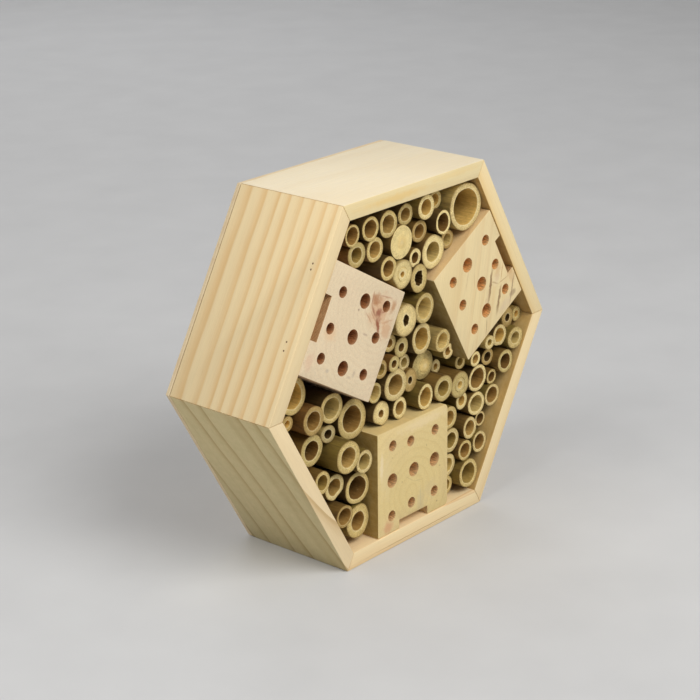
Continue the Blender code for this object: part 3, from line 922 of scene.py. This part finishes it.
# The tubes of each node, front-most first.
LOOK = {
    "top_01": [cane("red", "brown", oval=1.05), cane("red", "olive", "green")],
    "top_02": [cane("dark", "brown", oval=1.02), cane("brown", "tawny", oval=1.08)],
    "top_03": [
        cane("brown", "gold", "pale", plug=0.0, oval=1.04),
        cane("dark", "tawny", oval=1.12, rag=0.1),
    ],
    "top_04": [cane("olive", "gold", "pale"), cane("dark", "tawny", oval=0.95)],
    "top_05": [
        cane("dark", "brown", oval=1.08),
        cane("straw", "gold", "pale", ring=0.34, flat=(215, 0.12)),
    ],
    "top_06": [cane("dark", "umber", "pale", oval=1.2), cane("dark", "gold")],
    "top_07": [cane("brown", "ash", "pale"), cane("brown", "brown", "tan", oval=0.95)],
    "top_08": [
        cane("dark", "dark", oval=1.18, rag=0.25),
        cane("brown", "umber", "pale", oval=1.15),
    ],
    "top_09": [cane("straw", "gold", "cream", knot=24)],
    "top_10": [cane("olive", "ash", "tan")],
    "centre_01": [
        cane("straw", "dark", "cream", oval=1.06, inner=1.5, rag=0.15),
        cane("olive", "pith", oval=1.06),
    ],
    "centre_02": [cane("olive", "umber", "green"), cane("olive", "brown")],
    "centre_03": [cane("red", "umber", "green"), cane("olive", "olive", "tan")],
    "centre_04": [cane("brown", "dark", "tan", oval=1.25), cane("olive", "ash", "cream")],
    "centre_05": [
        cane("dark", "tawny", "cream", oval=0.95),
        cane("dark", "ash", "green", oval=1.1),
    ],
    "centre_06": [
        cane("straw", "pith", knot=16, fray=0.35),
        cane("olive", "brown", "cream", bite=(20, 30, 0.9)),
    ],
    "centre_07": [cane("brown", "olive", "green", oval=0.9), cane("dark", "gold", "pale")],
    "centre_08": [cane("olive", "tawny", "pale"), cane("olive", "olive", knot=13)],
    "centre_09": [cane("dark", "gold", "cream", oval=1.16, flat=(10, 0.12))],
    "centre_10": [cane("brown", "gold", "green", plug=0.0, dome=1.4, oval=0.88)],
    "centre_11": [cane("dark", "brown", "pale", oval=1.06, flat=(240, 0.14))],
    "centre_12": [cane("dark", "tawny", "pale", oval=1.12)],
    "centre_13": [cane("olive", "gold", "pale", oval=1.2, flat=(0, 0.06))],
    "right_01": [cane("brown", "pith", "green", ring=0.36), cane("olive", "gold", "pale")],
    "right_02": [cane("brown", "ash", "pale", oval=0.92), cane("dark", "brown", "pale", oval=0.95)],
    "right_03": [cane("olive", "brown", "cream", oval=0.92), cane("brown", "umber")],
    "right_04": [cane("brown", "umber", "green"), cane("dark", "dark", "tan", oval=0.92)],
    "right_05": [
        cane("straw", "olive", "cream", oval=0.9),
        cane("dark", "gold", "cream", bite=(250, 30, 0.9)),
    ],
    "right_06": [cane("olive", "ash", oval=0.85), cane("straw", "dark", "tan", oval=1.22)],
    "right_07": [cane("olive", "brown", "cream"), cane("brown", "tawny", "cream", oval=1.1)],
    "right_08": [cane("olive", "olive"), cane("brown", "brown")],
    "right_09": [cane("straw", "gold", "green", oval=1.1)],
    "right_10": [cane("dark", "umber", "cream")],
    "lower_01": [cane("olive", "olive", "cream"), cane("olive", "tawny")],
    "lower_02": [cane("brown", "ash", "cream"), cane("olive", "olive")],
    "left_01": [cane("red", "brown", "tan"), cane("dark", "ash", oval=0.96)],
    "left_02": [
        cane("straw", "dark", "grey", oval=0.85, lean=-25),
        cane("brown", "umber", "green"),
    ],
    "left_03": [cane("olive", "tawny", knot=30, oval=1.04), cane("olive", "ash", "cream")],
    "left_04": [cane("brown", "olive", oval=1.1), cane("olive", "tawny", "pale", flat=(300, 0.16))],
    "left_05": [cane("brown", "brown", "tan", oval=0.95), cane("olive", "brown", poly=0.012)],
    "left_06": [cane("olive", "gold")],
    "left_07": [cane("brown", "gold", "tan", oval=1.1)],
    "left_08": [cane("dark", "brown", oval=0.95, lean=-20)],
    "left_09": [cane("dark", "umber", oval=0.95)],
}


def fit_circle(points):
    """Centre (x, z) and radius of a ring of points, by least squares."""
    mean_x = sum(p.x for p in points) / len(points)
    mean_z = sum(p.z for p in points) / len(points)
    pairs = [(p.x - mean_x, p.z - mean_z) for p in points]

    def total(m, n):
        return sum(u ** m * v ** n for u, v in pairs)

    det = total(2, 0) * total(0, 2) - total(1, 1) ** 2
    half_a = (total(3, 0) + total(1, 2)) / 2
    half_b = (total(0, 3) + total(2, 1)) / 2
    u = (half_a * total(0, 2) - half_b * total(1, 1)) / det
    v = (half_b * total(2, 0) - half_a * total(1, 1)) / det
    radius = math.sqrt(u * u + v * v + (total(2, 0) + total(0, 2)) / len(points))
    return mean_x + u, mean_z + v, radius


OUTER_SHARE = 0.86  # points beyond this share of the widest reach lie on the outer ring
INNER_SHARE = 0.84  # and points below this share of the radius lie on the bore


def tubes_of(node):
    """Each tube in a CAD node as (x, z, radius, bore radius, front, rear), front-most first."""
    points = [v.co / MM for v in frame["nodes"][node].data.vertices]
    levels = {}
    for p in points:
        if p.y < (FRONT + REAR) / 2:
            level = levels.setdefault(round(p.y * 20), {})
            level[(round(p.x * 50), round(p.z * 50))] = p
    rear = max(p.y for p in points)
    found = []
    for key in sorted(levels):
        ring = list(levels[key].values())
        if len(ring) < 10:
            continue
        x, z, radius = fit_circle(ring)
        for _ in range(6):
            spans = [math.hypot(p.x - x, p.z - z) for p in ring]
            outer = [p for p, span in zip(ring, spans) if span > OUTER_SHARE * max(spans)]
            x, z, radius = fit_circle(outer)
        inner = [p for p in ring if math.hypot(p.x - x, p.z - z) < radius * INNER_SHARE]
        bore = fit_circle(inner)[2] if len(inner) > 6 else 0.0
        found.append((x, z, radius, bore, ring[0].y, rear))
    return found


# A knot's profile: (distance behind its place, swelling).
KNOT = (
    (3.0, 0.0), (1.6, 0.25), (0.8, 0.55), (0.2, 0.3),
    (-0.3, -0.15), (-0.9, 0.45), (-1.8, 0.2), (-3.2, 0.0),
)


def tube_rows(radius, bore, length, look):
    """(depth, radius, zone) from the back of the outside, over the sawn end and down the bore."""
    outside = [(length * share, radius) for share in (1.0, 0.6, 0.35)]
    if "knot" in look:
        outside += [(look["knot"] + behind, radius + swell) for behind, swell in KNOT]
    outside += [(depth, radius) for depth in (8.0, 3.0, 1.2, 0.5, 0.22)]
    cut = [(0.08, radius - 0.08), (0.0, radius - 0.26)]
    inside = []
    if bore > 0:
        wall = radius - bore
        cut.append((0.0, radius - wall * 0.36))
        if "ring" in look:
            groove = ((0.05, 0.08), (0.45, 0.0), (0.05, -0.1))
            cut += [(depth, bore + wall * (look["ring"] + out)) for depth, out in groove]
        cut += [(0.0, radius - wall * 0.68), (0.0, bore + 0.22), (0.1, bore + 0.07)]
        inside = [(depth, bore) for depth in (0.35, 1.0, 2.5, 5.0, 9.0, 15.0, 26.0, length)]
    zones = ((outside, "skin"), (cut, "cut"), (inside, "bore"))
    return [(depth, reach, zone) for rows, zone in zones for depth, reach in rows]


def shape(turn, look, phase, inner):
    """How far the outline lies out at that turn, as a factor of the radius."""
    oval = look.get("oval", 1.0)
    if inner:
        oval = look.get("inner", oval)
    lean = math.radians(look.get("lean", 0))
    wide = math.cos(turn - lean) * math.sqrt(oval)
    tall = math.sin(turn - lean) / math.sqrt(oval)
    factor = 1.0 + (1.0 / math.hypot(wide, tall) - 1.0) * 0.8
    factor += 0.01 * math.sin(2 * turn + phase[0]) + 0.012 * math.sin(3 * turn + phase[1])
    factor += 0.006 * math.sin(5 * turn + phase[2])
    factor += look.get("poly", 0.0) * math.cos(6 * turn + 0.4)
    if "flat" in look:
        toward, amount = look["flat"]
        facing = math.cos(turn - math.radians(toward))
        if facing > 0.2:
            factor = min(factor, (1.0 - amount) / facing)
    if inner:
        for amount, speed, seed in ((1.0, 2.2, phase[0]), (0.6, 6.0, phase[1])):
            place = Vector((math.cos(turn) * speed, math.sin(turn) * speed, seed))
            factor += look.get("rag", 0.03) * amount * noise.noise(place)
    return factor


def clamp(value):
    return max(0.0, min(1.0, value))


def chipped(px, pz, depth, turn, look, phase):
    """How far a point of the sawn end is broken back."""
    chip = 0.12 * noise.noise(Vector((px * 1.6, depth * 0.5, pz * 1.6 + phase[0])))
    chip += look.get("fray", 0.0) * max(0.0, noise.noise(Vector((px, 7.0, pz + phase[1]))))
    if "bite" in look:
        toward, width, deep = look["bite"]
        off = abs((math.degrees(turn) - toward + 180) % 360 - 180)
        chip += deep * clamp((width - off) / 8.0)
    return abs(chip)


TUBE_SIDES = 64
ZONES = {"skin": 0, "cut": 1, "bore": 2}
END_REACH = 6.0  # the end's slant, chips and dome fade out over this depth
BORE_PAINTED_SHADE = (0.6, 18.0)  # painted shade: how much darker the bore gets, and over what depth


def make_bamboo(node):
    """All the tubes of a CAD node as one detailed mesh."""
    bm = bmesh.new()
    tone = bm.verts.layers.float_color.new("tone")
    wall = bm.verts.layers.float.new("wall")
    for order, (x, z, radius, bore, front, rear) in enumerate(tubes_of(node)):
        look = LOOK[node.removeprefix("bamboo_")][order]
        rng = random.Random(f"{node}-{order}")
        phase = [rng.uniform(0, 6.28) for _ in range(3)]
        tilt_x, tilt_z = (rng.uniform(-0.03, 0.03) for _ in range(2))
        bend_x, bend_z = (rng.uniform(-0.12, 0.12) for _ in range(2))
        length = rear - front
        light = rng.uniform(0.92, 1.08)
        palette = {"skin": SKINS, "cut": CUTS, "bore": BORES}
        colors = {zone: [c * light for c in palette[zone][look[zone]]] for zone in ZONES}
        loops = []
        for depth, reach, zone in tube_rows(radius, bore, length, look):
            loop = []
            inner = bore > 0 and reach < (radius + bore) / 2
            near = max(0.0, 1.0 - depth / END_REACH)
            sway = depth / length
            fade = 1.0
            # Painted shade: the bore darkens with depth.
            if zone == "bore":
                fade -= BORE_PAINTED_SHADE[0] * min(depth / BORE_PAINTED_SHADE[1], 1.0)
            for k in range(TUBE_SIDES):
                turn = 2 * math.pi * k / TUBE_SIDES
                out = reach * shape(turn, look, phase, inner)
                px = out * math.cos(turn)
                pz = out * math.sin(turn)
                slant = max(0.0, px * tilt_x + pz * tilt_z + 0.03 * radius)
                chip = chipped(px, pz, depth, turn, look, phase)
                y = front + depth + (slant + chip + look.get("dome", 0.0)) * near
                place = (x + px + bend_x * sway, min(y, rear), z + pz + bend_z * sway)
                vert = bm.verts.new(place)
                vert[tone] = (*[c * fade for c in colors[zone]], 1.0)
                vert[wall] = (radius - reach) / (radius - bore) if bore > 0 else 0.5
                loop.append(vert)
            loops.append((loop, zone))
        for (near, _), (far, zone) in zip(loops, loops[1:]):
            bridge(bm, near, far, ZONES[zone], smooth=True)
        if bore > 0:
            bridge(bm, loops[-1][0], loops[0][0], ZONES["cut"])
        else:
            bm.faces.new(loops[0][0]).material_index = ZONES["cut"]
            close_end(bm, loops[-1][0], look, (tone, wall), colors["cut"], Vector((x, front, z)))
    bmesh.ops.recalc_face_normals(bm, faces=bm.faces)
    obj = add(node + "_cane", bm, [SKIN, CUT, BORE])
    obj.data.set_sharp_from_angle(angle=math.radians(38))
    return settle(obj, "bamboo", node)


def close_end(bm, rim, look, layers, cut, middle):
    """Closes a tube's end with rings of faces that dish in or bulge out towards the middle."""
    tone, wall = layers
    last = rim
    dome = look.get("dome", 0.0)
    pith = (0.86, 0.64, 0.25) if dome else (0.9, 0.66, 0.26)
    for share in (0.92, 0.84, 0.76, 0.68, 0.6, 0.52, 0.44, 0.36, 0.28, 0.2, 0.12, 0.05):
        hollow = look["plug"] * clamp((0.62 - share) / 0.3) + dome * share ** 2
        if dome and 0.5 < share < 0.55:
            hollow += 0.35  # a groove round the pith
        blend = clamp((0.55 - share) / (0.08 if dome else 0.4))
        loop = []
        for vert in rim:
            p = middle + (vert.co - middle) * share
            rough = 0.14 * noise.noise(Vector((p.x * 0.9, 3.0, p.z * 0.9)))
            lift = max(0.0, (vert.co.y - middle.y - dome) * share ** 4)
            new = bm.verts.new((p.x, middle.y + 0.1 + hollow + rough + lift, p.z))
            new[wall] = 0.15 + 0.85 * (1 - share)
            new[tone] = (*[a * (1 - blend) + b * blend for a, b in zip(cut, pith)], 1.0)
            loop.append(new)
        bridge(bm, last, loop, ZONES["cut"], smooth=True)
        last = loop
    centre = bm.faces.new(last)
    centre.material_index = ZONES["cut"]
    centre.smooth = True


for node in sorted(frame["nodes"]):
    if node.startswith("bamboo_"):
        make_bamboo(node)


# ---- Pins: the CAD shape is right, so it only gets its metal ----
def pin_metal():
    """Dull brown steel."""
    n = Nodes("pin_steel")
    worn = n.noise(n.place(), (3.0, 3.0, 3.0), 3.0)
    color = n.ramp(worn, [(0.35, (0.16, 0.09, 0.05)), (0.65, (0.32, 0.2, 0.11))])
    n.shader.inputs["Metallic"].default_value = 0.2
    return n.finish(color, n.line(worn, 0.4, 0.4), worn, 0.3)


PIN = pin_metal()
for node, obj in frame["nodes"].items():
    if node.startswith("pin_"):
        obj.data.materials.clear()
        obj.data.materials.append(PIN)


# ---- Stage: floor, light and camera ----
FLOOR_RADIUS = 6000


def make_floor():
    bm = bmesh.new()
    bm.faces.new([
        bm.verts.new((FLOOR_RADIUS * cos, FLOOR_RADIUS * sin, LOW.z - 0.05))
        for cos, sin in circle(64)
    ])
    n = Nodes("floor")
    grain = n.noise(n.place(), (0.02, 0.02, 0.02), 3.0)
    color = n.ramp(grain, [(0.3, (0.6, 0.605, 0.62)), (0.7, (0.63, 0.635, 0.65))])
    add("floor", bm, [n.finish(color, 0.75, grain, 0.05)])


# Each soft light's place, size, power and colour. All of them face LIT.
LIT = Vector((0, 0, 0.09))
LIGHTS = {
    "key": ((-0.08, -1.34, 1.42), 1.3, 25.5, (1.0, 0.985, 0.95)),
    "side": ((-1.34, 0.19, 1.43), 1.2, 12.0, (1.0, 0.985, 0.95)),
    "back": ((0.9, 1.3, 0.9), 1.0, 4, (1.0, 1.0, 1.0)),
}
SKY = (1.0, 0.99, 0.97, 1)
SKY_STRENGTH = 0.27


def make_lights():
    for name, (place, size, power, color) in LIGHTS.items():
        data = bpy.data.lights.new(name, "AREA")
        data.shape = "DISK"
        data.size = size
        data.energy = power
        data.color = color
        light = link(name, data)
        light.location = place
        light.rotation_euler = (LIT - Vector(place)).to_track_quat("-Z", "Y").to_euler()
    world = bpy.data.worlds.new("studio")
    bpy.context.scene.world = world
    world.use_nodes = True
    background = world.node_tree.nodes["Background"]
    background.inputs["Color"].default_value = SKY
    background.inputs["Strength"].default_value = SKY_STRENGTH
    bpy.context.scene.view_settings.view_transform = "Standard"
    bpy.context.scene.view_settings.look = "None"


# The camera's place about the point it aims at, which suits the photo's angle.
AZIMUTH = math.radians(-49.23)
ELEVATION = math.radians(20.03)
ROLL = math.radians(-0.68)
DISTANCE = 1.0192
AIM = Vector((-0.0131, FRONT * MM + 0.033, CENTRE.z * MM + 0.0039))
LENS = 102.7


def make_camera():
    back = Vector((
        math.sin(AZIMUTH) * math.cos(ELEVATION),
        -math.cos(AZIMUTH) * math.cos(ELEVATION),
        math.sin(ELEVATION),
    ))
    right = UP.cross(back).normalized()
    up = back.cross(right)
    turned_right = right * math.cos(ROLL) + up * math.sin(ROLL)
    turned_up = up * math.cos(ROLL) - right * math.sin(ROLL)
    data = bpy.data.cameras.new("camera")
    data.lens = LENS
    data.sensor_width = 36.0
    data.clip_start = 0.01
    camera = link("camera", data)
    camera.matrix_world = axes_at(AIM + back * DISTANCE, turned_right, turned_up, back)
    bpy.context.scene.camera = camera


make_floor()
make_lights()
make_camera()
